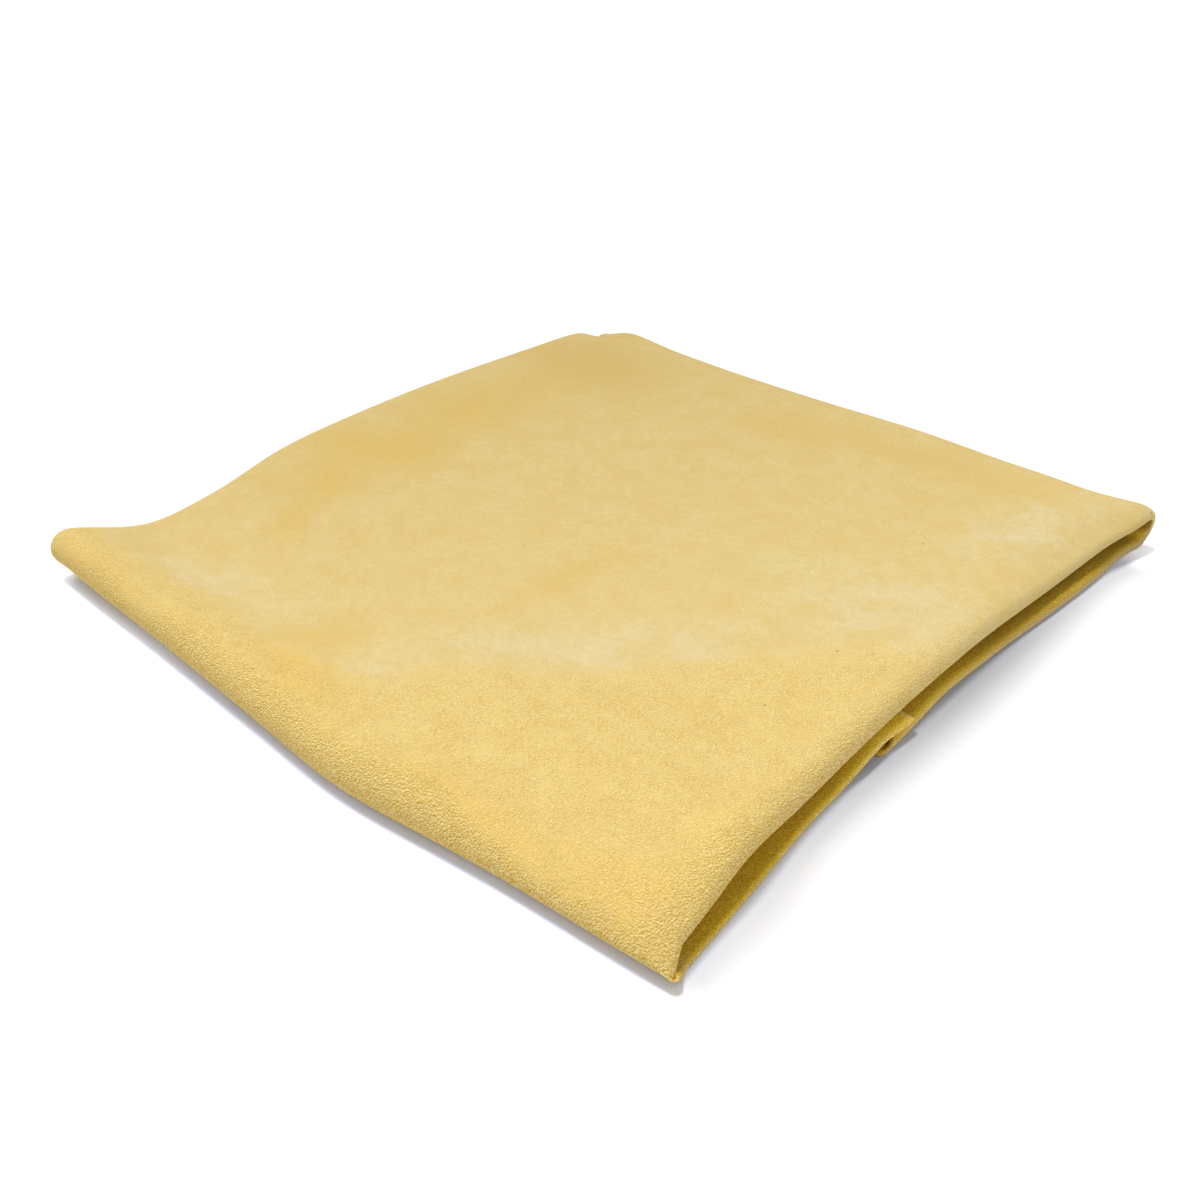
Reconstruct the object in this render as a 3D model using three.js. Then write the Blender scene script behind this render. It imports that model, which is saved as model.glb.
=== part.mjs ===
// A synthetic chamois cloth, folded and laid flat on a table.
// It is one continuous sheet. Its width is folded in three, as a letter is, so that the right and
// left sides of the block are rolled folds and both cut edges are tucked inside. The strip so made
// is then wrapped front and back, so that its two ends lie underneath and lap a little.
// Millimetres. X runs from the left fold to the right one, Y from the front to the back, Z up.

import * as THREE from "three";

// Driving dimensions of the cloth
const sheetWidth = 540; // cut size in the direction that is folded in three
const sheetLength = 440; // cut size in the direction that is wrapped front and back
const clothThickness = 0.9;

// Driving dimensions of the folding
const layerGap = 0.3; // air between two layers that are pressed together
const tuckShort = 24; // the two inner panels stop this far short of the opposite fold
const flapLap = 11.5; // the front flap reaches this far over the end of the back flap
const lapSlack = 1.4; // height left over where the two flaps lap under the top
const nearFlapShare = 0.435; // of the flat length, how much lies over the front flap
const backEndSkew = 5; // the lower layer of the back flap sticks out this far past the upper one
const lapRun = 22; // the front flap climbs on to the back one over this length
const underCut = 0.5; // the underside is pressed flat on the table by this depth

// Sizes that follow from them
const layerPitch = clothThickness + layerGap;
const stripHeight = 3 * clothThickness + 2 * layerGap;
const mouthHeight = stripHeight + lapSlack;
const foldedHeight = 2 * stripHeight + mouthHeight;
const rightFoldRadius = layerPitch;
const leftFoldRadius = layerPitch / 2;
const wrapRadius = foldedHeight / 2;
const sideFoldLength = Math.PI * (rightFoldRadius + leftFoldRadius);
const panelWidth = (sheetWidth - sideFoldLength + 2 * tuckShort) / 3;
const wrapLength = 2 * Math.PI * (wrapRadius - clothThickness / 2);
const flatLength = (sheetLength - wrapLength - flapLap) / 2;
const halfPanel = panelWidth / 2;
const halfFlat = flatLength / 2;
const halfWidth = halfPanel + rightFoldRadius + clothThickness / 2;
const halfDepth = halfFlat + wrapRadius;
const nearEnd = -halfFlat + nearFlapShare * flatLength; // where the front flap ends
const backEnd = nearEnd - flapLap; // where the back flap ends, at its middle layer

// How the pressed block gives in use. A place share is measured from the middle of the block, in
// half widths along X or half depths along Y, and a reach share is a spread in the same measure.
const frontBow = { out: 6.5, placeShare: 0.16, reachShare: 1.14, roundShare: 0.1 };
const backBow = { out: 0.9, placeShare: 0, reachShare: 1 };
const rightWaist = { inward: 7.4, placeShare: -0.12, reachShare: 1.03 };
const leftDent = { inward: 10.6, placeShare: -0.68, reachShare: 0.25 };
const leftBulge = { out: 3.1, placeShare: 0.22, reachShare: 0.52 };
const leftDip = { down: 3.3, placeShare: -0.8, reachShare: 0.14 };
const leftRise = { up: 0.9, placeShare: 0.22, reachShare: 0.43 };
const mouth = { lift: 2, placeShare: -0.73, reachShare: 0.155 };
const topSag = { down: 1.5, placeShare: 0, reachShare: 1 };
const leftFrontLift = { up: 3.8, startXShare: -0.29, startYShare: 0.39, fullShare: 1.1 };
const rightBackLift = { up: 0.9, startXShare: 0.5, startYShare: 0.6, fullShare: 1.05 };
const rightFrontSag = { down: 0.7, startShare: 0, fullShare: 1 };
const leftBackRise = { up: 0.9, startShare: 0, fullShare: 1 };
const leftBackTuck = { inward: 2.7, down: 0.9, reachShare: 0.115 };
const sideStartShare = -0.2; // a side starts to give this far past the middle

// Rows and columns of the sheet's grid. All layers share the column places, so that their facets
// lie parallel, and the flaps share their row places where they lap.
const panelShares = [-0.32, 0.16, 0.46]; // between the two tucked edges, in half panel widths
const topShares = [-0.88, -0.72, -0.48, -0.1, 0.3, 0.7]; // across the top, in half flat lengths
const frontFlapShare = -0.76; // one more row between the front fold and the lap, alike
const backFlapShare = 0.45; // one more row between the lap and the back fold, alike
const rightFoldSteps = 4;
const leftFoldSteps = 3;
const wrapSteps = 5;

const chamoisYellow = 0xe3c983;
const suedeRoughness = 0.95;

function clamp01(value) {
  return Math.min(1, Math.max(0, value));
}

// 0 before the start, 1 past the end, smooth between
function ease(value, start, end) {
  const t = clamp01((value - start) / (end - start));
  return t * t * (3 - 2 * t);
}

function easeOf(share, { startShare, fullShare }) {
  return ease(share, startShare, fullShare);
}

function cornerEase(shareX, shareY, { startXShare, startYShare, fullShare }) {
  return ease(shareX, startXShare, fullShare) * ease(shareY, startYShare, fullShare);
}

// A soft hump of height 1 at the place, measured in shares
function hump(share, { placeShare, reachShare }) {
  return Math.exp(-(((share - placeShare) / reachShare) ** 2));
}

// A bow of height 1 that is nearly straight on both sides of a rounded crest
function crest(share, { placeShare, reachShare, roundShare }) {
  const d = (share - placeShare) / reachShare;
  const rounded = Math.hypot(d, roundShare) - roundShare;
  return Math.max(0, 1 - rounded / (Math.hypot(1, roundShare) - roundShare));
}

// A plain parabola of height 1, as wide as its reach
function arch(share, { placeShare, reachShare }) {
  return Math.max(0, 1 - ((share - placeShare) / reachShare) ** 2);
}

// The sheet across its width, as stations of its middle surface: x, the depth under the outer
// face of the block, and the direction of its outer side in those two.
function widthStations() {
  const tuckedReach = (sheetWidth - sideFoldLength - panelWidth) / 2;
  const tuckedEnd = tuckedReach - halfPanel; // x of the cut edge of the panel folded from the left
  const columns = panelShares.map((share) => share * halfPanel);
  const outerDepth = clothThickness / 2;
  const middleDepth = outerDepth + layerPitch;
  const innerDepth = outerDepth + 2 * layerPitch;
  const stations = [];
  const add = (x, depth, sideX, sideDepth) => stations.push({ x, depth, sideX, sideDepth });
  // The middle panel runs from its cut edge to the left fold.
  add(tuckedEnd, middleDepth, 0, 1);
  for (const x of [...columns].reverse()) add(x, middleDepth, 0, 1);
  add(-tuckedEnd, middleDepth, 0, 1);
  for (let k = 0; k <= leftFoldSteps; k++) {
    const angle = (Math.PI * k) / leftFoldSteps;
    const depth = outerDepth + leftFoldRadius * (1 + Math.cos(angle));
    add(-halfPanel - leftFoldRadius * Math.sin(angle), depth, -Math.sin(angle), Math.cos(angle));
  }
  // The outer panel is the top of the block.
  for (const x of [-tuckedEnd, ...columns, tuckedEnd]) add(x, outerDepth, 0, -1);
  for (let k = 0; k <= rightFoldSteps; k++) {
    const angle = (Math.PI * k) / rightFoldSteps;
    const depth = outerDepth + rightFoldRadius * (1 - Math.cos(angle));
    add(halfPanel + rightFoldRadius * Math.sin(angle), depth, Math.sin(angle), -Math.cos(angle));
  }
  // The inner panel runs back from the right fold to its own cut edge.
  for (const x of [tuckedEnd, ...[...columns].reverse(), -tuckedEnd]) add(x, innerDepth, 0, 1);
  return stations;
}

// The sheet along its length, as rows. Each takes a depth to a place in the Y and Z of the block.
function lengthRows() {
  const rows = [];
  const nearRow = (y) => rows.push((depth) => ({ y, z: depth + climb(y) }));
  const backRow = (y) => rows.push((depth) => ({ y, z: depth }));
  const climb = (y) => layerPitch * 3 * ease(y, backEnd - lapRun, backEnd);
  nearRow(nearEnd);
  nearRow(backEnd);
  nearRow(backEnd - lapRun);
  nearRow(frontFlapShare * halfFlat);
  for (let k = 0; k <= wrapSteps; k++) {
    const angle = (Math.PI * k) / wrapSteps;
    rows.push((depth) => ({
      y: -halfFlat - (wrapRadius - depth) * Math.sin(angle),
      z: wrapRadius - (wrapRadius - depth) * Math.cos(angle),
    }));
  }
  for (const share of topShares) {
    rows.push((depth) => ({ y: share * halfFlat, z: foldedHeight - depth }));
  }
  for (let k = 0; k <= wrapSteps; k++) {
    const angle = (Math.PI * k) / wrapSteps;
    rows.push((depth) => ({
      y: halfFlat + (wrapRadius - depth) * Math.sin(angle),
      z: wrapRadius + (wrapRadius - depth) * Math.cos(angle),
    }));
  }
  backRow(backFlapShare * halfFlat);
  backRow(nearEnd);
  rows.push((depth) => {
    const inwardShare = (depth - clothThickness / 2) / (2 * layerPitch) - 1 / 2;
    return { y: backEnd + backEndSkew * inwardShare, z: depth };
  });
  return rows;
}

// How the give of the cloth moves a point of the pressed block. Every layer follows the same
// smooth field, so layers that lie apart stay apart.
function give({ x, y, z }) {
  const u = x / halfWidth;
  const v = y / halfDepth;
  const top = clamp01((z - stripHeight) / mouthHeight); // 0 in the lower strip, 1 in the upper one
  const front = ease(-v, sideStartShare, 1);
  const back = ease(v, sideStartShare, 1);
  const right = ease(u, sideStartShare, 1);
  const left = ease(-u, sideStartShare, 1);
  const atBack = { placeShare: 1, reachShare: leftBackTuck.reachShare };
  const tuck = hump(-u, atBack) * hump(v, atBack);
  const moved = new THREE.Vector3(x, y, z);
  moved.x -= rightWaist.inward * arch(v, rightWaist) * right;
  moved.x += leftDent.inward * hump(v, leftDent) * left;
  moved.x -= leftBulge.out * hump(v, leftBulge) * left;
  moved.x += leftBackTuck.inward * tuck;
  moved.y -= frontBow.out * crest(u, frontBow) * front;
  moved.y += backBow.out * arch(u, backBow) * back;
  moved.y -= leftBackTuck.inward * tuck;
  moved.z += leftFrontLift.up * cornerEase(-u, -v, leftFrontLift);
  moved.z += rightBackLift.up * cornerEase(u, v, rightBackLift);
  moved.z += top * mouth.lift * hump(v, mouth) * right;
  moved.z -= top * leftDip.down * hump(v, leftDip) * left;
  moved.z += top * leftRise.up * hump(v, leftRise) * left;
  moved.z -= top * topSag.down * arch(u, topSag) * arch(v, topSag);
  moved.z -= top * rightFrontSag.down * easeOf(u, rightFrontSag) * easeOf(-v, rightFrontSag);
  moved.z += top * leftBackRise.up * easeOf(-u, leftBackRise) * easeOf(v, leftBackRise);
  moved.z -= top * leftBackTuck.down * tuck;
  moved.z = Math.max(moved.z - underCut, 0);
  return moved;
}

// The sheet as one closed body: its two sides, and the rim of its cut edges between them.
function foldedSheet() {
  const stations = widthStations();
  const rows = lengthRows();
  const points = [];
  const indices = [];
  const indexOf = (side, i, j) => (side * stations.length + i) * rows.length + j;
  for (const side of [1, -1]) {
    for (const station of stations) {
      const x = station.x + (side * station.sideX * clothThickness) / 2;
      const depth = station.depth + (side * station.sideDepth * clothThickness) / 2;
      for (const row of rows) points.push(give({ x, ...row(depth) }));
    }
  }
  const quad = (a, b, c, d) => indices.push(a, b, c, a, c, d);
  for (let i = 0; i + 1 < stations.length; i++) {
    // Panels that run leftwards split their facets the other way, so that all layers match.
    const rightwards = stations[i + 1].x > stations[i].x;
    for (let j = 0; j + 1 < rows.length; j++) {
      for (const side of [0, 1]) {
        const corner = (di, dj) => indexOf(side, i + di, j + dj);
        const loop = [corner(0, 0), corner(1, 0), corner(1, 1), corner(0, 1)];
        if (!rightwards) loop.push(loop.shift());
        if (side === 1) loop.splice(1, 3, loop[3], loop[2], loop[1]);
        quad(...loop);
      }
    }
  }
  // The rim goes once round the sheet.
  const rim = [];
  for (let i = 0; i < stations.length - 1; i++) rim.push([i, 0]);
  for (let j = 0; j < rows.length - 1; j++) rim.push([stations.length - 1, j]);
  for (let i = stations.length - 1; i > 0; i--) rim.push([i, rows.length - 1]);
  for (let j = rows.length - 1; j > 0; j--) rim.push([0, j]);
  rim.forEach(([i, j], k) => {
    const [nextI, nextJ] = rim[(k + 1) % rim.length];
    quad(indexOf(0, i, j), indexOf(1, i, j), indexOf(1, nextI, nextJ), indexOf(0, nextI, nextJ));
  });
  return { points, indices };
}

// The origin is the middle of the block's box, on the table.
function centred(points) {
  const box = new THREE.Box3().setFromPoints(points);
  const middle = box.getCenter(new THREE.Vector3());
  middle.z = box.min.z;
  return points.map((point) => point.clone().sub(middle));
}

function chamoisSheet() {
  const { points, indices } = foldedSheet();
  const geometry = new THREE.BufferGeometry().setFromPoints(centred(points));
  geometry.setIndex(indices);
  geometry.computeVertexNormals();
  const suede = new THREE.MeshStandardMaterial({
    color: chamoisYellow,
    roughness: suedeRoughness,
    metalness: 0,
  });
  const mesh = new THREE.Mesh(geometry, suede);
  mesh.name = "chamois_sheet";
  return mesh;
}

const cloth = new THREE.Group();
cloth.add(chamoisSheet());

export default cloth;
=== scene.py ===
# A folded synthetic chamois cloth on a white table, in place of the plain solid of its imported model.
# All lengths are in metres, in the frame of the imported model: X from the left fold to the open
# right side, Y from the front fold to the back one, Z up.
import math

import bpy
import numpy as np
from mathutils import Matrix, Vector


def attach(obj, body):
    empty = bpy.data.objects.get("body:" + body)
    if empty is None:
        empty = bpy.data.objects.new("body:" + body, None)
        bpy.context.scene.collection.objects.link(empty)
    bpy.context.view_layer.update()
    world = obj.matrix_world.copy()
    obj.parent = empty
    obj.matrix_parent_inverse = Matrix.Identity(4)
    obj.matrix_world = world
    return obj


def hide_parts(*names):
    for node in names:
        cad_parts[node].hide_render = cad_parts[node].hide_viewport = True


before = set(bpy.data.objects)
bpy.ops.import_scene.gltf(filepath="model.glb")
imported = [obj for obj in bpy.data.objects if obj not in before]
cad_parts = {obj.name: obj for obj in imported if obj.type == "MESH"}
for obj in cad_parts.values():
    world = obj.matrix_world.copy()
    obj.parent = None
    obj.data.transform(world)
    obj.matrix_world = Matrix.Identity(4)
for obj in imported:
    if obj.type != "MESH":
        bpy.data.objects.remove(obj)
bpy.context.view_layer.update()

MM = 0.001

# The cut cloth and its folding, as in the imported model. The side folds turn over half a pitch at
# the left and a whole one at the right.
SHEET_WIDTH = 540 * MM
SHEET_LENGTH = 440 * MM
THICKNESS = 0.9 * MM
LAYER_GAP = 0.3 * MM
TUCK_SHORT = 24 * MM
FLAP_LAP = 11.5 * MM
LAP_SLACK = 1.4 * MM
NEAR_FLAP_SHARE = 0.435
BACK_END_SKEW = dict(back=5 * MM, start=0.8)
LAP_RUN = 22 * MM
UNDER_CUT = 0.5 * MM

LAYER_PITCH = THICKNESS + LAYER_GAP
STRIP_HEIGHT = 3 * THICKNESS + 2 * LAYER_GAP
MOUTH_HEIGHT = STRIP_HEIGHT + LAP_SLACK
FOLDED_HEIGHT = 2 * STRIP_HEIGHT + MOUTH_HEIGHT
WRAP_RADIUS = FOLDED_HEIGHT / 2
SIDE_FOLDS = math.pi * 1.5 * LAYER_PITCH
PANEL_WIDTH = (SHEET_WIDTH - SIDE_FOLDS + 2 * TUCK_SHORT) / 3
WRAP_LENGTH = 2 * math.pi * (WRAP_RADIUS - THICKNESS / 2)
FLAT_LENGTH = (SHEET_LENGTH - WRAP_LENGTH - FLAP_LAP) / 2
HALF_PANEL = PANEL_WIDTH / 2
HALF_FLAT = FLAT_LENGTH / 2
HALF_WIDTH = HALF_PANEL + LAYER_PITCH + THICKNESS / 2
HALF_DEPTH = HALF_FLAT + WRAP_RADIUS
LAP_END = -HALF_FLAT + NEAR_FLAP_SHARE * FLAT_LENGTH
BACK_END = LAP_END - FLAP_LAP

# How the pressed block gives: how far in metres, and where in shares of its half width u or half
# depth v
SIDE_START = -0.2
FRONT_BOW = dict(out=6.7 * MM, place=0.2, reach=1.13, rounding=0.1)
BACK_BOW = dict(out=1.4 * MM, place=-0.18, reach=1.1)
RIGHT_WAIST = dict(inward=8.1 * MM, place=-0.065, reach=1.059)
LEFT_DENT = dict(inward=10.5 * MM, place=-0.663, reach=0.25)
LEFT_BULGE = dict(out=3.2 * MM, place=0.19, reach=0.54)
LEFT_DIP = dict(down=3.55 * MM, place=-0.8, reach=0.125)
LEFT_RISE = dict(up=0.95 * MM, place=0.22, reach=0.43)
LEFT_FRONT_LIFT = dict(up=2.85 * MM, start_u=-0.29, start_v=0.39, full=1.1)
RIGHT_BACK_LIFT = dict(up=2.65 * MM, start_u=0.5, start_v=0.6, full=1.05)
LEFT_BACK_TUCK = dict(inward=4.7 * MM, down=2.1 * MM, reach=0.105)
MOUTH_LIFT = dict(up=3.5 * MM, place=-0.74, reach=0.154)
TOP_SAG = 1.5 * MM
RIGHT_FRONT_SAG = 2.6 * MM
LEFT_BACK_RISE = 1.4 * MM

# The back wrap stands up at its left end, with a short valley before it
BACK_END_HUMP = dict(up=1.3 * MM, place=0.977, reach=0.028)
BACK_END_VALLEY = dict(down=1.8 * MM, place=0.928, reach=0.033)
BACK_END_RUN = dict(start=0.62, full=0.9)

# Small waves along the edges: how far out, and their place and reach in the same shares. Those of
# the right side start at a share of the half width, and its upper edge lies a little inward.
RIGHT_EDGE = 0.5
UPPER_EDGE_INWARD = 1.4 * MM
FRONT_WAVES = [
    (0.5 * MM, -0.8, 0.22), (0.7 * MM, 0.16, 0.2), (-0.55 * MM, 0.6, 0.2), (0.1 * MM, 0.95, 0.12),
]
BACK_WAVES = [
    (1.7 * MM, -0.95, 0.15), (-1.0 * MM, -0.45, 0.25), (1.8 * MM, 0.25, 0.25), (-3.2 * MM, 0.85, 0.15),
]
LOWER_EDGE_WAVES = [
    (-0.3 * MM, -0.95, 0.1), (-0.7 * MM, -0.5, 0.16), (0.6 * MM, -0.2, 0.12),
    (-0.45 * MM, 0.03, 0.12), (0.65 * MM, 0.5, 0.2), (-1.75 * MM, 0.9, 0.14),
]
UPPER_EDGE_WAVES = [
    (-0.4 * MM, -0.5, 0.2), (0.15 * MM, -0.05, 0.2), (-0.9 * MM, 0.72, 0.2), (1.1 * MM, 0.95, 0.1),
]

# Radii of the right fold's middle surface: tight where the block wraps, looser along the top
FRONT_FOLD = 0.5 * MM
NEAR_FLAP_FOLD = 0.8 * MM
TOP_FOLD = 1.25 * MM
BACK_FOLD = 0.6 * MM
BACK_WRAP_FOLD = 1.9 * MM
BACK_FLAP_FOLD = 1.25 * MM
FAR_END_FOLD = 1.1 * MM
LOOSE_RUN = 14 * MM
BACK_FOLD_RUN = 70 * MM
FOLD_EASE = 20 * MM

# The top hangs over towards the right edge, steeply at the front and softly at the back corner
FRONT_DROOP = dict(down=2.0 * MM, run=5.5 * MM)
BACK_DROOP = dict(down=3.3 * MM, run=15 * MM)
DROOP_CHANGE = dict(start=0.1, full=0.7, fading=0.86, gone=1.0)
DROOP_LIMIT = 1.3

# How far the right fold stands out in the middle of the front wrap
FRONT_LIP = 1.2 * MM

# Painted shade on the right fold as it turns inward, where the layers above keep light off it:
# under the top, and in the ends that are turned under, where the change takes a run or a share of the end
TOP_PAINTED_SHADE = dict(start=math.radians(95), end=math.radians(150), least=0)
UNDER_PAINTED_SHADE = dict(start=math.radians(70), end=math.radians(160), least=0.1)
FRONT_PAINTED_SHADE_RUN = 25 * MM
BACK_PAINTED_SHADE_SHARE = 0.2

# The painted shade is partly taken off the near right tip, round the front wrap, with its turn
# counted from below, and a short run on under the block
UNSHADED_TIP = dict(full=math.radians(100), gone=math.radians(160), run=2.5 * MM, share=0.45)

# The near end is a little short, its corner is rounded and its right edge stands out over the far
# end. Its last strip, along the cut edge, has most of its painted shade taken off.
NEAR_END_OUT = dict(out=1.0 * MM, run=12 * MM)
NEAR_END_SHORT = 2 * MM
NEAR_END_ROUND = dict(back=2.6 * MM, run=7 * MM)
CUT_EDGE = dict(width=0.7 * MM, run=0.98 * MM, unshaded=0.7)

# Fineness of the mesh
FINE_STEP = 1.3 * MM
INNER_STEPS = 11
FLAP_STEP = 3 * MM
PANEL_STEPS = 146
LEFT_FOLD_STEPS = 8
RIGHT_FOLD_STEPS = 14
EASE_STEPS = 6
WRAP_STEPS = 12

# The camera of the photograph, with its angles in degrees
FOCAL_MM = 39.0
SENSOR_MM = 36.0
CAMERA_AZIMUTH = 39.5
CAMERA_ELEVATION = 31.65
CAMERA_ROLL = 2.01
CAMERA_PLACE = (182.27 * MM, -227.72 * MM, 167.04 * MM)
CAMERA_NEAR = 0.01

# Light: the lamps' azimuth from +X and elevation in degrees, strength, and spread in degrees
AMBIENT = 0.40
LAMPS = [
    ("key", 177, 73, 0.45, 13),
    ("side", 177, 45, 0.27, 28),
    ("fill", -35, 12, 0.18, 30),
]

# The table: its colour to the light, and its colours as the camera sees them, in the open and in
# the shade close to the cloth, where painted shade makes it cooler and painted light makes it lighter
# along the front. The runs of shade are shares of open sky within the shade's reach.
TABLE_HALF = 3
TABLE_COLOUR = (0.8, 0.8, 0.8, 1)
SEEN_TABLE_COLOUR = (1.04, 1.045, 1.06, 1)
PAINTED_SHADE_TABLE_COLOUR = (0.97, 1.06, 1.30, 1)
PAINTED_FRONT_LIGHT_COLOUR = (1.22, 1.25, 1.30, 1)
PAINTED_FRONT_SHADE_COLOUR = (0.97, 1.10, 1.58, 1)
PAINTED_LEFT_LIGHT = (1.42, 1.45, 1.44, 1)
SHADE_REACH = 14 * MM
SHADE_SAMPLES = 8
RIGHT_SHADE = (0.55, 0.85)
FRONT_SHADE = (0.46, 0.66)
FRONT_TABLE = (-98 * MM, -106 * MM)
LEFT_TABLE = (-15 * MM, -70 * MM)

# Oval patches of the table: middle and reach in mm, and turn in degrees. One is painted light that
# pales the shadow at the back corner's tip, the other a painted soft shadow beside the right side.
TIP_PAINTED_LIGHT_PATCH = ((101, 100), (10, 13), 0)
TIP_PAINTED_LIGHT_COLOUR = (1.95, 2.06, 2.33, 1)
PAINTED_SHADOW_PATCH = ((84, 15), (26, 130), 0)
PAINTED_SHADOW_COLOUR = (0, 0, 0, 1)
PAINTED_SHADOW_SHARE = 0.55

# Colours of the cloth, and tints that multiply them. A painted light makes the cloth lighter towards
# the near right corner than at the far left one.
SMOOTH_COLOUR = (0.885, 0.71, 0.335, 1)
BRUSHED_COLOUR = (0.945, 0.735, 0.30, 1)
FRONT_EDGE_COLOUR = (1.0, 0.735, 0.23, 1)
MOTTLE_COLOUR = (0.84, 0.625, 0.235, 1)
# The nap's painted shade, which is also the colour of its fine fibres, and its painted highlight
NAP_SHADE_AND_FIBRE_COLOUR = (0.65, 0.37, 0.035, 1)
NAP_PAINTED_HIGHLIGHT_COLOUR = (1.0, 0.86, 0.42, 1)
FLECK_COLOUR = (0.76, 0.56, 0.20, 1)
# Painted shade along the end turned under from the back
BACK_STRIP_PAINTED_SHADE = (0.80, 0.775, 0.95, 1)
# Painted shade inside the fold at the back corner
BACK_CORNER_PAINTED_SHADE = (0.42, 0.33, 0.30, 1)
PORE_COLOUR = (0.42, 0.29, 0.07, 1)
# Painted shade where the layers cover the fold
PAINTED_SHADE_TINT = (1.0, 0.915, 0.20, 1)
# A painted light falling off from the near right corner to the far left one
PAINTED_FALLOFF_SLANT = 0.707
PAINTED_FALLOFF_RUN = 138 * MM
PAINTED_FALLOFF_DARKEST = 0.76
PALE = (0.90, 0.775, 0.45, 1)
PALE_GREEN = (0.87, 0.77, 0.395, 1)
TAN = (0.86, 0.62, 0.195, 1)
OLIVE_TAN = (0.81, 0.60, 0.235, 1)
ORANGE = (0.95, 0.645, 0.195, 1)
WARM = (0.88, 0.655, 0.265, 1)

# Oval patches of the cloth: middle and reach in mm, turn in degrees, colour and strength
PATCHES = [
    ((34, -44), (54, 16), 48, PALE, 0.9),
    ((4, -84), (14, 10), 0, PALE, 0.6),
    ((78, 72), (44, 15), 76, PALE, 1.0),
    ((72, 12), (34, 32), 0, PALE, 0.8),
    ((40, 12), (24, 13), 20, PALE_GREEN, 0.5),
    ((-50, -84), (36, 10), 14, PALE, 0.7),
    ((-76, -2), (24, 66), 0, TAN, 0.5),
    ((-61, -56), (16, 9), -55, TAN, 0.7),
    ((-71, -36), (20, 10), -70, TAN, 0.7),
    ((-72, -10), (26, 16), 35, TAN, 0.7),
    ((-86, -16), (14, 12), 0, TAN, 0.5),
    ((-78, 22), (24, 18), 20, TAN, 0.6),
    ((-76, 50), (22, 26), 0, TAN, 0.5),
    ((-72, 76), (38, 30), 0, OLIVE_TAN, 0.9),
    ((40, 90), (58, 14), 0, WARM, 0.9),
    ((-2, 80), (24, 18), 0, WARM, 0.8),
    ((9, -28), (28, 8), 84, WARM, 0.9),
    ((-14, -84), (16, 9), 30, TAN, 0.6),
    ((-6, -97), (24, 10), -6, ORANGE, 0.9),
    ((50, -102), (34, 11), 10, ORANGE, 0.7),
    ((82, -100), (24, 13), 15, ORANGE, 0.8),
    ((-76, -103), (18, 8), 0, ORANGE, 0.5),
]
PATCH_CORE = 0.15
DRIFT_SIZE = 20 * MM
DRIFT_DETAIL = 4.0
DRIFT = 14 * MM

# Runs, each from its start to where it is full, some with their least and most share, and how much
# nap the brushed part shows. The corner runs lie along the slant towards the near right corner.
CORNER_ACROSS = 0.75
CORNER_ALONG = 0.66
BRUSHED_FRONT = (-88 * MM, -97 * MM)
BRUSHED_CORNER = (57 * MM, 67 * MM)
BRUSHED_NAP = 0.5
ROLLED_FRONT = (-98 * MM, -107 * MM)
ROLLED_CORNER = (106 * MM, 136 * MM, 0, 0.75)
RIGHT_SIDE = (80 * MM, 92 * MM)
RIGHT_SIDE_NAP = (60 * MM, -30 * MM, 0.1, 0.85)
FRONT_EDGE = (-98 * MM, -108 * MM)
NEAR_SIDE = (78 * MM, 92 * MM)
NEAR_SIDE_CORNER = (92 * MM, 122 * MM)
# Where the painted shade falls along the end turned under from the back
BACK_STRIP_ACROSS = (72 * MM, 84 * MM)
BACK_STRIP_ALONG = (-5 * MM, 35 * MM)
BACK_STRIP_DOWN = (7 * MM, 5 * MM)
# Where the painted shade falls inside the fold at the back corner
BACK_CORNER_ALONG = (84 * MM, 102 * MM)
BACK_CORNER_UP = (4 * MM, 6.5 * MM)
BACK_CORNER_SHADE_SHARE = (0, 0.5)

# Noises, each as its size, detail and distortion, and the share that its values give
MOTTLE = (9 * MM, 4.0, 0.0)
MOTTLE_SHARE = (0.38, 0.66, 0, 0.45)
FLECK = (2.4 * MM, 3.0, 0.0)
FLECK_SHARE = (0.35, 0.65, 0, 0.2)
CLUMP = (3.5 * MM, 2.0, 0.4)
CLUMP_SHARE = (0.5, 0.8, 0.5, 1)
CLUMP_NAP = 0.4
FIBRE = (0.38 * MM, 2.0, 0.3)
FIBRE_SHARE = (0.3, 0.7, 0, 0.3)
FIBRE_HEIGHT = 0.12

# The nap: ridges where a noise crosses its middle, tufts, how both are combed, and the step towards
# the light with the slopes at which their sides take painted highlight and painted shade
NAP_HEIGHT = 0.16 * MM
SMOOTH_NAP = 0.08
RIDGE = (0.64 * MM, 1.0, 0.9)
RIDGE_WIDTH = 0.17
RIDGE_HEIGHT = 0.4
TUFT = (0.32 * MM, 1.0, 0.3)
TUFT_HEIGHT = 1.2
COMB_TURN = math.radians(-15)
COMB_STRETCH = 1.2
# The step towards the light that sets which side of each tuft takes painted highlight or painted shade
TOWARDS_LIGHT = (-0.11 * MM, 0.085 * MM, 0.07 * MM)
SHADED_SIDE_SLOPE = (0.01, -0.15)
LIT_SIDE_SLOPE = (-0.03, 0.15)
ROUGHNESS = 0.95
SPECULAR = 0.06
SHEEN = dict(weight=0.03, roughness=0.5, tint=(1.0, 0.8, 0.35, 1))

# Pores: the size of the cells that may hold one, its edge, which cells do, and its strength
PORE_CELL = 9 * MM
PORE_EDGE = (0.06, 0.03)
PORE_CHOICE = (0.8, 0.82)
PORE_SHARE = 0.6


def ease(value, start, end):
    """0 before the start, 1 past the end, smooth between."""
    t = np.clip((value - start) / (end - start), 0, 1)
    return t * t * (3 - 2 * t)


def hump(share, place, reach):
    """1 at the place, and less on both sides, almost 0 at twice the reach."""
    return np.exp(-(((share - place) / reach) ** 2))


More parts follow.
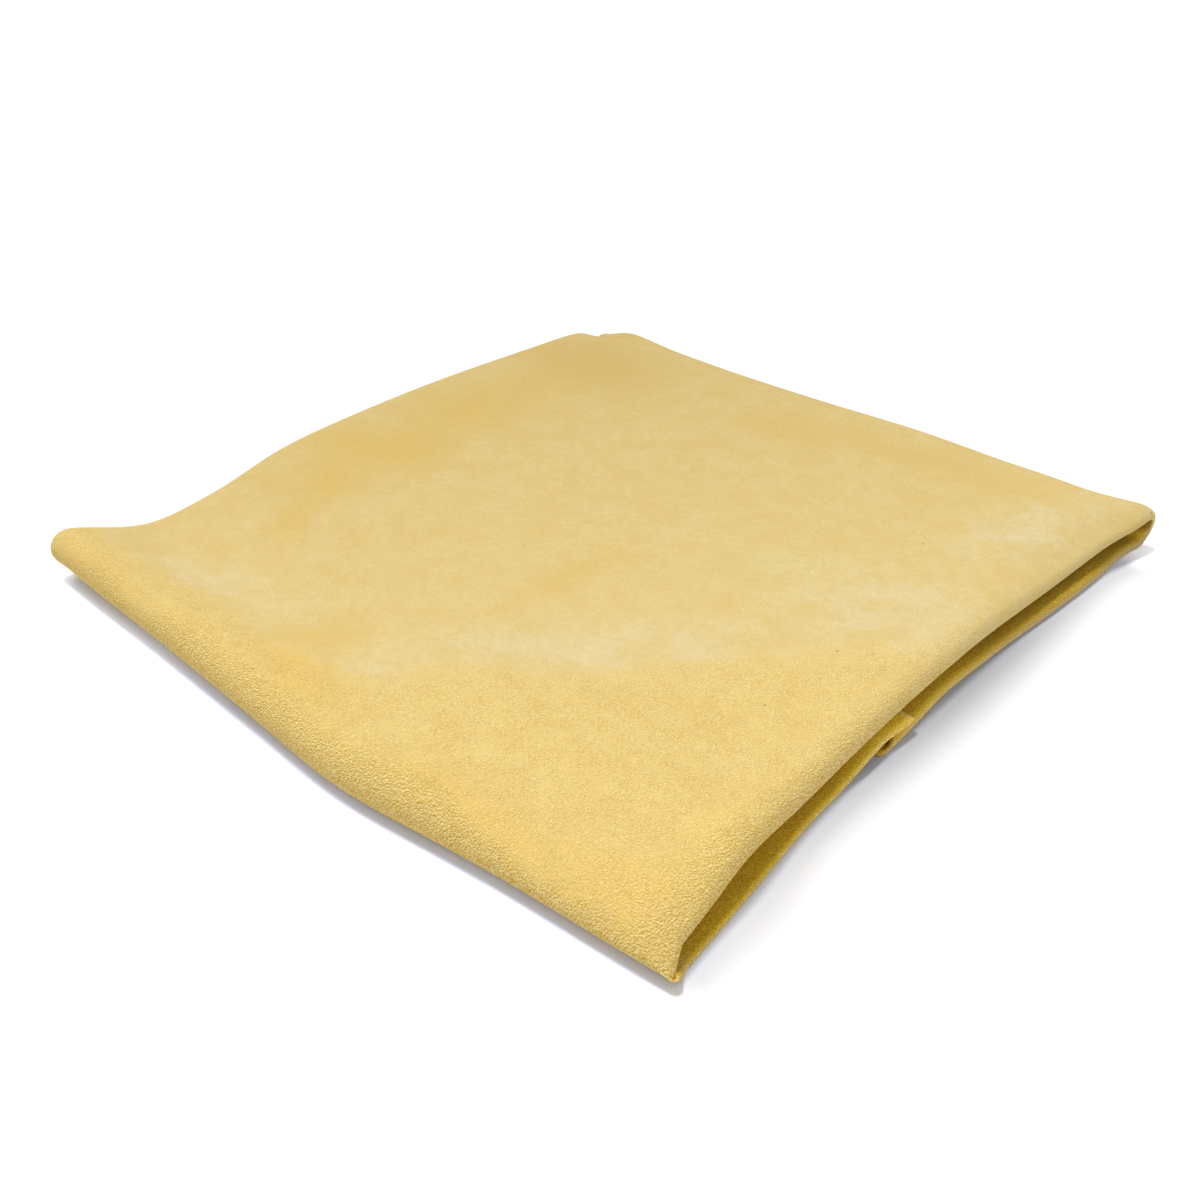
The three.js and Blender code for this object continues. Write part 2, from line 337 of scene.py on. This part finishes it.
def crest(share, place, reach, rounding):
    """1 at the place, falling nearly straight to 0 at the reach, with a rounded top."""
    d = (share - place) / reach
    rounded = np.hypot(d, rounding) - rounding
    return np.maximum(0, 1 - rounded / (math.hypot(1, rounding) - rounding))


def arch(share, place, reach):
    """1 at the place, falling ever more steeply to 0 at the reach."""
    return np.maximum(0, 1 - ((share - place) / reach) ** 2)


def waves(share, humps):
    """The sum of some humps, each given as how far it stands out, its place and its reach."""
    return sum(out * hump(share, place, reach) for out, place, reach in humps)


def between(value, start, end, first, last):
    """Goes smoothly from first to last as the value goes from start to end."""
    return first + (last - first) * ease(value, start, end)


def steps(start, end, step):
    """Places from start to end, both included, about a step apart."""
    count = max(1, round(abs(end - start) / step))
    return np.linspace(start, end, count + 1)


def cross_section(radius, lip):
    """The middle surface across the width, for a right fold of that radius that stands out by the lip.

    Each row holds x, the depth below the outside of the block, the outer side's direction, and
    the angle by which the right fold has turned inward.
    """
    tucked_end = (SHEET_WIDTH - SIDE_FOLDS - PANEL_WIDTH) / 2 - HALF_PANEL
    outer = THICKNESS / 2
    left_radius = LAYER_PITCH / 2
    fold_x = HALF_PANEL + LAYER_PITCH - radius + lip
    rows = []
    for x in np.linspace(tucked_end, -HALF_PANEL, INNER_STEPS + 1)[:-1]:
        rows.append((x, outer + LAYER_PITCH, 0, 1, math.pi))
    for angle in np.linspace(0, math.pi, LEFT_FOLD_STEPS + 1):
        depth = outer + left_radius * (1 + math.cos(angle))
        x = -HALF_PANEL - left_radius * math.sin(angle)
        rows.append((x, depth, -math.sin(angle), math.cos(angle), 0))
    for share in np.linspace(0, 1, PANEL_STEPS + 1)[1:-1]:
        rows.append((-HALF_PANEL + share * (fold_x + HALF_PANEL), outer, 0, -1, 0))
    for angle in np.linspace(0, math.pi, RIGHT_FOLD_STEPS + 1):
        depth = outer + radius * (1 - math.cos(angle))
        x = fold_x + radius * math.sin(angle)
        rows.append((x, depth, math.sin(angle), -math.cos(angle), angle))
    for share in np.linspace(0, 1, EASE_STEPS + 1)[1:]:
        depth = outer + 2 * radius + 2 * (LAYER_PITCH - radius) * ease(share, 0, 1)
        rows.append((fold_x - share * FOLD_EASE, depth, 0, 1, math.pi))
    for x in np.linspace(fold_x - FOLD_EASE, -tucked_end, INNER_STEPS)[1:]:
        rows.append((x, outer + 2 * LAYER_PITCH, 0, 1, math.pi))
    return np.array(rows)


def length_rows():
    """The rows along the length, from the near end of the sheet to its far end.

    Each holds a function from depth to y and z, the right fold's radius and its lip, how far the
    row lies in an end that is turned under, and how much of its painted shade is taken off.
    """
    rows = []
    near_end = LAP_END - NEAR_END_SHORT

    def near_flap(y):
        climb = 3 * LAYER_PITCH * ease(y, BACK_END - LAP_RUN, BACK_END)
        back = NEAR_END_ROUND["back"] * ease(y, near_end - NEAR_END_ROUND["run"], near_end)
        return lambda depth: (y - back * (depth / STRIP_HEIGHT) ** 2, depth + climb)

    def back_flap(share):
        skew = BACK_END_SKEW["back"] * ease(share, BACK_END_SKEW["start"], 1)

        def place(depth):
            inward = (depth - THICKNESS / 2) / (2 * LAYER_PITCH) - 0.5
            y = HALF_FLAT + (BACK_END - HALF_FLAT) * share
            return y + skew * inward, depth
        return place

    def wrapped(angle, sign):
        def place(depth):
            radius = WRAP_RADIUS - depth
            y = sign * (HALF_FLAT + radius * math.sin(angle))
            return y, WRAP_RADIUS + sign * radius * math.cos(angle)
        return place

    def top(y):
        return lambda depth: (y, FOLDED_HEIGHT - depth)

    for y in np.append(near_end, steps(near_end - CUT_EDGE["width"], -HALF_FLAT, FLAP_STEP)[:-1]):
        lip = between(y, near_end - NEAR_END_OUT["run"], near_end, 0, NEAR_END_OUT["out"])
        under = ease(y, -HALF_FLAT, -HALF_FLAT + FRONT_PAINTED_SHADE_RUN)
        # How much painted shade is taken off, round the near tip and along the cut edge
        unshaded = between(y, -HALF_FLAT, -HALF_FLAT + UNSHADED_TIP["run"], UNSHADED_TIP["share"], 0)
        unshaded += between(y, near_end - CUT_EDGE["run"], near_end, 0, CUT_EDGE["unshaded"])
        fold = between(y, -HALF_FLAT, near_end, FRONT_FOLD, NEAR_FLAP_FOLD)
        rows.append((near_flap(y), fold, lip, under, unshaded))
    for angle in np.linspace(0, math.pi, WRAP_STEPS + 1)[:-1]:
        # The painted shade is partly taken off round the front wrap
        unshaded = between(angle, UNSHADED_TIP["full"], UNSHADED_TIP["gone"], UNSHADED_TIP["share"], 0)
        rows.append((wrapped(angle, -1), FRONT_FOLD, FRONT_LIP * math.sin(angle), 0, unshaded))
    for y in steps(-HALF_FLAT, HALF_FLAT, FINE_STEP)[:-1]:
        front = between(y, -HALF_FLAT, -HALF_FLAT + LOOSE_RUN, FRONT_FOLD, TOP_FOLD)
        back = between(y, HALF_FLAT - BACK_FOLD_RUN, HALF_FLAT, 0, BACK_FOLD - TOP_FOLD)
        rows.append((top(y), front + back, 0, 0, 0))
    for angle in np.linspace(0, math.pi, WRAP_STEPS + 1)[:-1]:
        fold = between(angle, 0, math.pi / 2, BACK_FOLD, BACK_WRAP_FOLD)
        fold += between(angle, math.pi / 2, math.pi, 0, BACK_FLAP_FOLD - BACK_WRAP_FOLD)
        rows.append((wrapped(angle, 1), fold, 0, 0, 0))
    for share in np.linspace(0, 1, round((HALF_FLAT - BACK_END) / FLAP_STEP) + 1):
        fold = between(share, 0, 1, BACK_FLAP_FOLD, FAR_END_FOLD)
        rows.append((back_flap(share), fold, 0, ease(share, 0, BACK_PAINTED_SHADE_SHARE), 0))
    return rows


def give(x, y, z):
    """How the pressed block gives, with fine waves along its edges."""
    u = x / HALF_WIDTH
    v = y / HALF_DEPTH
    top = np.clip((z - STRIP_HEIGHT) / MOUTH_HEIGHT, 0, 1)
    front, back = ease(-v, SIDE_START, 1), ease(v, SIDE_START, 1)
    right, left = ease(u, SIDE_START, 1), ease(-u, SIDE_START, 1)
    edge = ease(u, RIGHT_EDGE, 1)
    tuck = hump(-u, 1, LEFT_BACK_TUCK["reach"]) * hump(v, 1, LEFT_BACK_TUCK["reach"])

    out_x = -RIGHT_WAIST["inward"] * arch(v, RIGHT_WAIST["place"], RIGHT_WAIST["reach"]) * right
    out_x += LEFT_DENT["inward"] * hump(v, LEFT_DENT["place"], LEFT_DENT["reach"]) * left
    out_x -= LEFT_BULGE["out"] * hump(v, LEFT_BULGE["place"], LEFT_BULGE["reach"]) * left
    out_x += LEFT_BACK_TUCK["inward"] * tuck
    out_x += edge * (1 - top) * waves(v, LOWER_EDGE_WAVES) + edge * top * waves(v, UPPER_EDGE_WAVES)
    out_x -= edge * top * UPPER_EDGE_INWARD

    bow = crest(u, FRONT_BOW["place"], FRONT_BOW["reach"], FRONT_BOW["rounding"])
    out_y = -FRONT_BOW["out"] * bow * front
    out_y += (BACK_BOW["out"] * arch(u, BACK_BOW["place"], BACK_BOW["reach"]) + waves(u, BACK_WAVES)) * back
    out_y -= LEFT_BACK_TUCK["inward"] * tuck + front * waves(u, FRONT_WAVES)

    # The left front corner lifts with all its layers, and the rest only from the mouth up
    lift = LEFT_FRONT_LIFT
    up = lift["up"] * ease(-u, lift["start_u"], lift["full"]) * ease(-v, lift["start_v"], lift["full"])
    lift = RIGHT_BACK_LIFT
    rise = lift["up"] * ease(u, lift["start_u"], lift["full"]) * ease(v, lift["start_v"], lift["full"])
    rise += MOUTH_LIFT["up"] * hump(v, MOUTH_LIFT["place"], MOUTH_LIFT["reach"]) * right
    rise -= LEFT_DIP["down"] * hump(v, LEFT_DIP["place"], LEFT_DIP["reach"]) * left
    rise += LEFT_RISE["up"] * hump(v, LEFT_RISE["place"], LEFT_RISE["reach"]) * left
    rise -= TOP_SAG * arch(u, 0, 1) * arch(v, 0, 1)
    rise -= RIGHT_FRONT_SAG * ease(u, 0, 1) * ease(-v, 0, 1)
    rise += LEFT_BACK_RISE * ease(-u, 0, 1) * ease(v, 0, 1)
    rise -= LEFT_BACK_TUCK["down"] * tuck
    change = ease(v, DROOP_CHANGE["start"], DROOP_CHANGE["full"])
    change = change * (1 - ease(v, DROOP_CHANGE["fading"], DROOP_CHANGE["gone"]))
    for droop, weight in ((FRONT_DROOP, 1 - change), (BACK_DROOP, change)):
        reach = np.clip(1 - (HALF_WIDTH - x) / droop["run"], 0, DROOP_LIMIT)
        rise -= droop["down"] * weight * reach ** 2
    run = ease(-u, BACK_END_RUN["start"], BACK_END_RUN["full"])
    rise += BACK_END_HUMP["up"] * hump(v, BACK_END_HUMP["place"], BACK_END_HUMP["reach"]) * run
    rise -= BACK_END_VALLEY["down"] * hump(v, BACK_END_VALLEY["place"], BACK_END_VALLEY["reach"]) * run
    return x + out_x, y + out_y, np.maximum(z + up + top * rise - UNDER_CUT, 0)


def painted_fold_shade(turn, start, end, least):
    """How much painted shade the right fold takes once it has turned inward by that angle."""
    return between(turn, start, end, least, 1)


def folded_sheet():
    """The sheet's points, its faces, and how much painted shade each point takes where layers keep light
    off.
    """
    rows = length_rows()
    sections = np.array([cross_section(radius, lip) for _, radius, lip, _, _ in rows])
    along, across = sections.shape[:2]
    grids = []
    for side in (1, -1):
        x = sections[:, :, 0] + side * sections[:, :, 2] * THICKNESS / 2
        depth = sections[:, :, 1] + side * sections[:, :, 3] * THICKNESS / 2
        grid = np.empty((across, along, 3))
        for j, (row, *_) in enumerate(rows):
            y, z = row(depth[j])
            grid[:, j, 0], grid[:, j, 1], grid[:, j, 2] = give(x[j], y, z)
        grids.append(grid.reshape(-1, 3))
    points = np.vstack(grids)
    count = across * along
    index = np.arange(count).reshape(across, along)
    a, b, c, d = index[:-1, :-1], index[1:, :-1], index[1:, 1:], index[:-1, 1:]
    outer = np.stack([a, b, c, d], -1).reshape(-1, 4)
    inner = np.stack([a, d, c, b], -1).reshape(-1, 4) + count
    loop = np.concatenate([index[:-1, 0], index[-1, :-1], index[:0:-1, -1], index[0, :0:-1]])
    after = np.roll(loop, -1)
    rim = np.stack([loop, loop + count, after + count, after], -1)
    faces = np.vstack([outer, inner, rim])
    under, unshaded = np.array([row[3:] for row in rows]).T
    turn = sections[:, :, 4].T
    # Painted shade on the fold, where the layers above keep light off it
    painted_shade = (1 - under) * painted_fold_shade(turn, **TOP_PAINTED_SHADE) + under * painted_fold_shade(turn, **UNDER_PAINTED_SHADE)
    # The inner side takes the full painted shade everywhere, except where it is taken off
    painted_shade = np.stack([painted_shade, np.ones((across, along))]) * (1 - unshaded)
    return points, faces, painted_shade.ravel()


def mesh_object(name, points, faces):
    mesh = bpy.data.meshes.new(name)
    mesh.from_pydata(points.tolist(), [], faces.tolist())
    mesh.polygons.foreach_set("use_smooth", np.ones(len(mesh.polygons), bool))
    mesh.update()
    obj = bpy.data.objects.new(name, mesh)
    bpy.context.scene.collection.objects.link(obj)
    return obj


def camera():
    data = bpy.data.cameras.new("camera")
    data.lens = FOCAL_MM
    data.sensor_width = SENSOR_MM
    data.clip_start = CAMERA_NEAR
    obj = bpy.data.objects.new("camera", data)
    azimuth, elevation = math.radians(CAMERA_AZIMUTH), math.radians(CAMERA_ELEVATION)
    roll = math.radians(CAMERA_ROLL)
    back = Vector((
        math.sin(azimuth) * math.cos(elevation),
        -math.cos(azimuth) * math.cos(elevation),
        math.sin(elevation),
    ))
    right = (-back).cross(Vector((0, 0, 1))).normalized()
    up = right.cross(-back)
    rolled_right = math.cos(roll) * right + math.sin(roll) * up
    rolled_up = -math.sin(roll) * right + math.cos(roll) * up
    turn = Matrix((rolled_right, rolled_up, back)).transposed()
    obj.matrix_world = Matrix.Translation(CAMERA_PLACE) @ turn.to_4x4()
    bpy.context.scene.collection.objects.link(obj)
    bpy.context.scene.camera = obj


class Shading:
    """Short calls for making the nodes of a material or of the world."""

    def __init__(self, tree):
        self.tree = tree

    def node(self, kind, inputs=None, **settings):
        made = self.tree.nodes.new("ShaderNode" + kind)
        for name, value in settings.items():
            setattr(made, name, value)
        for name, value in (inputs or {}).items():
            self.put(made.inputs[name], value)
        return made

    def put(self, socket, value):
        if isinstance(value, bpy.types.NodeSocket):
            self.tree.links.new(value, socket)
        else:
            socket.default_value = value

    def calc(self, operation, first, second=0.0):
        return self.node("Math", {0: first, 1: second}, operation=operation).outputs[0]

    def times(self, first, second):
        return self.calc("MULTIPLY", first, second)

    def plus(self, first, second):
        return self.calc("ADD", first, second)

    def less(self, first, second):
        return self.calc("SUBTRACT", first, second)

    def most(self, first, *others):
        for other in others:
            first = self.calc("MAXIMUM", first, other)
        return first

    def vector(self, operation, first, second):
        return self.node("VectorMath", {0: first, 1: second}, operation=operation).outputs[0]

    def split(self, place):
        return self.node("SeparateXYZ", {0: place}).outputs

    def seen(self):
        """1 for what is seen, also in a reflection or through glass, and 0 for scattered light."""
        path = self.node("LightPath").outputs
        return self.most(path["Is Camera Ray"], path["Is Glossy Ray"], path["Is Transmission Ray"])

    def noise(self, place, size, detail, distortion):
        inputs = {"Vector": place, "Scale": 1 / size, "Detail": detail, "Distortion": distortion}
        return self.node("TexNoise", inputs).outputs["Fac"]

    def fade(self, value, start, end, first=0.0, last=1.0):
        """Goes smoothly from first to last as the value goes from start to end."""
        inputs = {0: value, 1: start, 2: end, 3: first, 4: last}
        return self.node("MapRange", inputs, interpolation_type="SMOOTHSTEP").outputs[0]

    def mix(self, share, first, second, blend="MIX"):
        # Inputs of several kinds share a name here, so the ones for colours go by their number
        made = self.node("Mix", data_type="RGBA", blend_type=blend)
        self.put(made.inputs["Factor"], share)
        self.put(made.inputs[6], first)
        self.put(made.inputs[7], second)
        return made.outputs[2]

    def patch(self, place, middle, reach, turn):
        """1 in the middle of an oval patch, 0 past its reach."""
        inputs = {
            "Vector": place,
            "Location": (middle[0] * MM, middle[1] * MM, 0),
            "Rotation": (0, 0, math.radians(turn)),
            "Scale": (reach[0] * MM, reach[1] * MM, 1),
        }
        inside = self.node("Mapping", inputs, vector_type="TEXTURE").outputs[0]
        away = self.node("VectorMath", {0: inside}, operation="LENGTH").outputs["Value"]
        return self.fade(away, PATCH_CORE, 1, 1, 0)


def new_material(name):
    material = bpy.data.materials.new(name)
    material.use_nodes = True
    material.node_tree.nodes.clear()
    return material, Shading(material.node_tree)


def suede(name):
    material, s = new_material(name)
    place = s.node("TexCoord").outputs["Object"]
    x, y, z = s.split(place)
    # How much painted shade each point of the folds takes
    painted_shade = s.node("Attribute", attribute_name="painted_shade").outputs["Fac"]

    # The same place, pushed about by a slow noise, so that the patches have ragged edges
    drift = s.node("TexNoise", {"Vector": place, "Scale": 1 / DRIFT_SIZE, "Detail": DRIFT_DETAIL})
    drift = s.vector("SUBTRACT", drift.outputs["Color"], (0.5, 0.5, 0.5))
    drift = s.node("VectorMath", {0: drift, "Scale": DRIFT}, operation="SCALE").outputs[0]
    ragged = s.vector("ADD", place, drift)
    ragged_x, ragged_y, _ = s.split(ragged)
    corner = s.less(s.times(ragged_x, CORNER_ACROSS), s.times(ragged_y, CORNER_ALONG))

    # The nap is brushed up in the near right part, and shows most, with its painted highlight and
    # shade, over the rolled edges, along the right side and in the folds' painted shade
    brushed = s.most(s.fade(ragged_y, *BRUSHED_FRONT), s.fade(corner, *BRUSHED_CORNER))
    rolled = s.most(s.fade(ragged_y, *ROLLED_FRONT), s.fade(corner, *ROLLED_CORNER))
    side = s.times(s.fade(x, *RIGHT_SIDE), s.fade(ragged_y, *RIGHT_SIDE_NAP))
    nap = s.most(s.times(brushed, BRUSHED_NAP), rolled, side, painted_shade)

    # Dye, and a painted light falling off across the cloth
    colour = s.mix(brushed, SMOOTH_COLOUR, BRUSHED_COLOUR)
    near_side = s.times(s.fade(corner, *NEAR_SIDE_CORNER), s.fade(x, *NEAR_SIDE))
    colour = s.mix(s.most(s.fade(ragged_y, *FRONT_EDGE), near_side), colour, FRONT_EDGE_COLOUR)
    for middle, reach, turn, tint, strength in PATCHES:
        share = s.times(s.patch(ragged, middle, reach, turn), strength)
        colour = s.mix(share, colour, tint)
    colour = s.mix(s.fade(s.noise(place, *MOTTLE), *MOTTLE_SHARE), colour, MOTTLE_COLOUR)
    colour = s.mix(s.fade(s.noise(place, *FLECK), *FLECK_SHARE), colour, FLECK_COLOUR)
    # Painted light: lighter towards the near right corner, darker towards the far left one
    nearness = s.less(s.times(x, PAINTED_FALLOFF_SLANT), s.times(y, PAINTED_FALLOFF_SLANT))
    painted_falloff = s.node("MapRange", {0: nearness, 1: -PAINTED_FALLOFF_RUN, 2: PAINTED_FALLOFF_RUN, 3: PAINTED_FALLOFF_DARKEST, 4: 1.0}).outputs[0]
    painted_falloff = s.node("CombineColor", {0: painted_falloff, 1: painted_falloff, 2: painted_falloff}).outputs[0]
    colour = s.mix(1.0, colour, painted_falloff, "MULTIPLY")

    # Nap: curled tufts of fibre, with painted highlight on the side towards the light and painted shade
    # on the other
    def nap_height(at):
        comb = {"Vector": at, "Rotation": (0, 0, COMB_TURN), "Scale": (1, COMB_STRETCH, 1)}
        combed = s.node("Mapping", comb, vector_type="TEXTURE").outputs[0]
        curl = s.noise(combed, *RIDGE)
        ridge = s.fade(s.calc("ABSOLUTE", s.less(curl, 0.5)), RIDGE_WIDTH, 0)
        tuft = s.noise(combed, *TUFT)
        return s.plus(s.times(ridge, RIDGE_HEIGHT), s.times(tuft, TUFT_HEIGHT))

    raised = nap_height(place)
    lit_slope = s.less(raised, nap_height(s.vector("ADD", place, TOWARDS_LIGHT)))
    clump = s.noise(place, *CLUMP)
    patchy = s.times(nap, s.fade(s.plus(clump, s.times(nap, CLUMP_NAP)), *CLUMP_SHARE))
    # Painted shade on the tufts' sides away from the light, and painted highlight on those towards it
    colour = s.mix(s.times(s.fade(lit_slope, *SHADED_SIDE_SLOPE), patchy), colour, NAP_SHADE_AND_FIBRE_COLOUR)
    colour = s.mix(s.times(s.fade(lit_slope, *LIT_SIDE_SLOPE), patchy), colour, NAP_PAINTED_HIGHLIGHT_COLOUR)
    fibre = s.noise(place, *FIBRE)
    # Fine fibres, in the same deep colour as the nap's painted shade
    colour = s.mix(s.fade(fibre, *FIBRE_SHARE), colour, NAP_SHADE_AND_FIBRE_COLOUR)

    # Painted shade: deeper where the layers cover the fold, greyer along the end turned under from
    # the back, and darkest inside the fold at the back corner
    colour = s.mix(painted_shade, colour, PAINTED_SHADE_TINT, "MULTIPLY")
    # Painted shade along the end turned under from the back
    strip = s.times(s.fade(z, *BACK_STRIP_DOWN), s.fade(y, *BACK_STRIP_ALONG))
    strip = s.times(strip, s.fade(x, *BACK_STRIP_ACROSS))
    colour = s.mix(strip, colour, BACK_STRIP_PAINTED_SHADE, "MULTIPLY")
    # Painted shade inside the fold at the back corner
    back_corner = s.times(s.fade(y, *BACK_CORNER_ALONG), s.fade(z, *BACK_CORNER_UP))
    back_corner = s.times(back_corner, s.fade(painted_shade, *BACK_CORNER_SHADE_SHARE))
    colour = s.mix(back_corner, colour, BACK_CORNER_PAINTED_SHADE, "MULTIPLY")

    # A few small pores
    cells = s.node("TexVoronoi", {"Vector": place, "Scale": 1 / PORE_CELL})
    pore = s.fade(cells.outputs["Distance"], *PORE_EDGE)
    chosen = s.fade(s.node("SeparateColor", {0: cells.outputs["Color"]}).outputs[0], *PORE_CHOICE)
    colour = s.mix(s.times(pore, s.times(chosen, PORE_SHARE)), colour, PORE_COLOUR)

    height = s.times(raised, s.fade(patchy, 0, 1, SMOOTH_NAP, 1))
    height = s.plus(height, s.times(fibre, FIBRE_HEIGHT))
    bump = s.node("Bump", {"Strength": 1.0, "Distance": NAP_HEIGHT, "Height": height}).outputs[0]
    shader = s.node("BsdfPrincipled", {
        "Base Color": colour, "Roughness": ROUGHNESS, "Specular IOR Level": SPECULAR, "Normal": bump,
        "Sheen Weight": SHEEN["weight"], "Sheen Roughness": SHEEN["roughness"],
        "Sheen Tint": SHEEN["tint"],
    })
    s.node("OutputMaterial", {"Surface": shader.outputs[0]})
    return material


def white_table(name):
    """A plain pale table to the light, and to the eye a white one that keeps the cloth's shadow, with
    painted shade and painted light added.
    """
    material, s = new_material(name)
    place = s.node("TexCoord").outputs["Object"]
    x, y, _ = s.split(place)

    # Painted shade and painted light: cooler close to the cloth, which throws yellow light on it, and
    # lighter along the front
    beside = s.node("AmbientOcclusion", {"Distance": SHADE_REACH}, samples=SHADE_SAMPLES).outputs["AO"]
    right = s.mix(s.fade(beside, *RIGHT_SHADE), PAINTED_SHADE_TABLE_COLOUR, SEEN_TABLE_COLOUR)
    front = s.mix(s.fade(beside, *FRONT_SHADE), PAINTED_FRONT_SHADE_COLOUR, PAINTED_FRONT_LIGHT_COLOUR)
    # Painted light along the left part of the front
    left_painted_light = s.mix(1.0, front, PAINTED_LEFT_LIGHT, "MULTIPLY")
    front = s.mix(s.fade(x, *LEFT_TABLE), front, left_painted_light)
    table = s.mix(s.fade(y, *FRONT_TABLE), right, front)

    # A painted wide soft shadow beside the right side, and painted light that makes the shadow paler at
    # the tip of the back corner
    # Painted shadow beside the right side
    dim = s.times(s.patch(place, *PAINTED_SHADOW_PATCH), PAINTED_SHADOW_SHARE)
    table = s.mix(dim, table, PAINTED_SHADOW_COLOUR)
    # Painted light that pales the shadow at the back corner's tip
    table = s.mix(s.patch(place, *TIP_PAINTED_LIGHT_PATCH), table, TIP_PAINTED_LIGHT_COLOUR)
    shader = s.node("BsdfDiffuse", {"Color": s.mix(s.seen(), TABLE_COLOUR, table)})
    s.node("OutputMaterial", {"Surface": shader.outputs[0]})
    return material


def studio():
    """Plain light from all round, with a white background."""
    world = bpy.data.worlds.new("studio")
    world.use_nodes = True
    world.node_tree.nodes.clear()
    s = Shading(world.node_tree)
    strength = s.fade(s.seen(), 0, 1, AMBIENT, 1)
    back = s.node("Background", {"Color": (1, 1, 1, 1), "Strength": strength})
    s.node("OutputWorld", {"Surface": back.outputs[0]})
    bpy.context.scene.world = world


def sun(name, azimuth, elevation, strength, spread):
    """A soft distant lamp that gives a white surface facing it the strength as its brightness."""
    data = bpy.data.lights.new(name, "SUN")
    data.energy = strength * math.pi
    data.angle = math.radians(spread)
    obj = bpy.data.objects.new(name, data)
    around, up = math.radians(azimuth), math.radians(elevation)
    towards = Vector((math.cos(around) * math.cos(up), math.sin(around) * math.cos(up), math.sin(up)))
    obj.rotation_euler = (-towards).to_track_quat("-Z", "Y").to_euler()
    bpy.context.scene.collection.objects.link(obj)


camera()

# The cloth, centred over the origin
points, faces, painted_shade = folded_sheet()
low, high = points.min(0), points.max(0)
points -= [(low[0] + high[0]) / 2, (low[1] + high[1]) / 2, 0]
cloth = mesh_object("folded_chamois", points, faces)
# The painted shade of the folds, for the material
cloth.data.attributes.new("painted_shade", "FLOAT", "POINT").data.foreach_set("value", painted_shade)
cloth.data.materials.append(suede("suede"))

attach(cloth, "root")
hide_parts("chamois_sheet")

floor_mesh = bpy.data.meshes.new("floor")
corners = [(TABLE_HALF * x, TABLE_HALF * y, 0) for x, y in ((-1, -1), (1, -1), (1, 1), (-1, 1))]
floor_mesh.from_pydata(corners, [], [(0, 1, 2, 3)])
floor = bpy.data.objects.new("floor", floor_mesh)
bpy.context.scene.collection.objects.link(floor)
floor_mesh.materials.append(white_table("white_table"))

studio()
for name, azimuth, elevation, strength, spread in LAMPS:
    sun(name, azimuth, elevation, strength, spread)

bpy.context.scene.view_settings.view_transform = "Standard"
